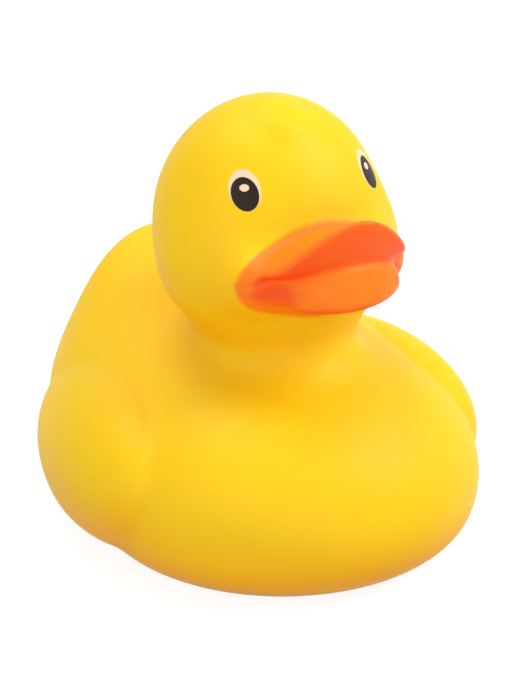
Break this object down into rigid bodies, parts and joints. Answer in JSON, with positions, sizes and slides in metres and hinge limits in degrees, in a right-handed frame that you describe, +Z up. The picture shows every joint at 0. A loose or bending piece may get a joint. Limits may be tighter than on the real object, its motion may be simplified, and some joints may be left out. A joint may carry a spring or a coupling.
{
  "type": "rubber duck",
  "caption": "Hollow soft vinyl bath duck with folded wings, raised tail, wide open-lipped bill and a squeaker in its flat base.",
  "frame": {"origin": "middle of the bounding box seen from above, on the plane the duck stands on", "axes": "+Z up; the bill points to -Y and the tail to +Y; +X is the duck's left side"},
  "size_m": [0.075, 0.0847, 0.0791],
  "materials": {
    "yellow_vinyl": "satin soft vinyl, warm yellow, with a sprayed orange bill and printed eyes",
    "white_plastic": "natural white moulded plastic",
    "reed_film": "thin pale film"
  },
  "bodies": {
    "root": {"duck_shell": "yellow_vinyl", "squeaker_body": "white_plastic", "squeaker_reed": "reed_film"}
  },
  "joints": []
}
